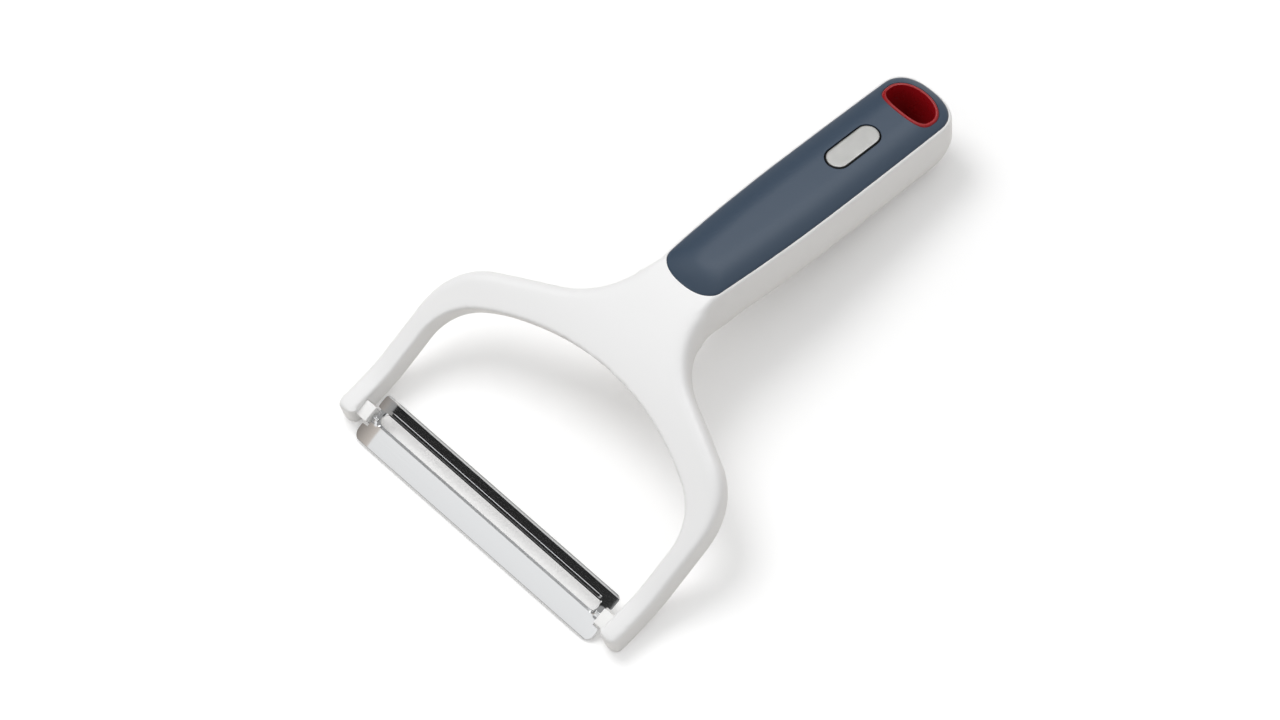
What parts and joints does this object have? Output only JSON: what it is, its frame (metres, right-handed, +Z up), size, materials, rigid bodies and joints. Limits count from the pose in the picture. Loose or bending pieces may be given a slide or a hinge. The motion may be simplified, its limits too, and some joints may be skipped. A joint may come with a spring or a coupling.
{
  "type": "wide swivel peeler",
  "caption": "Wide Y-shaped vegetable peeler with a slotted swivelling blade between two arms, a hollow soft-grip handle, a plain badge and a lined hang hole.",
  "frame": {"origin": "middle of the box that the peeler fills, on the surface that it lies on", "axes": "+X along the blade, +Y from the blade towards the hang hole, +Z up from the surface that it lies on"},
  "size_m": [0.1192, 0.2022, 0.0413],
  "materials": {
    "white_plastic": "satin gloss moulding",
    "core_plastic": "plain moulding, hidden",
    "soft_grip": "matte soft-touch",
    "red_plastic": "gloss moulding",
    "satin_metal": "fine satin",
    "black_adhesive": "matte foam tape",
    "polished_steel": "polished stainless",
    "block_plastic": "smooth acetal",
    "pin_steel": "drawn wire"
  },
  "bodies": {
    "frame": {"yoke_frame": "white_plastic", "grip_core": "core_plastic", "grip_inlay": "soft_grip", "hang_hole_liner": "red_plastic", "badge_plate": "satin_metal", "badge_pad": "black_adhesive", "pivot_block_right": "block_plastic", "pivot_block_left": "block_plastic", "pivot_pin_right": "pin_steel", "pivot_pin_left": "pin_steel"},
    "blade": {"blade": "polished_steel"}
  },
  "joints": [
    {"name": "blade_swivel", "type": "hinge", "parent": "frame", "child": "blade", "pos_m": [0, -0.09332, 0.0052], "axis": [1, 0, 0], "range_deg": [-22, 22]}
  ]
}
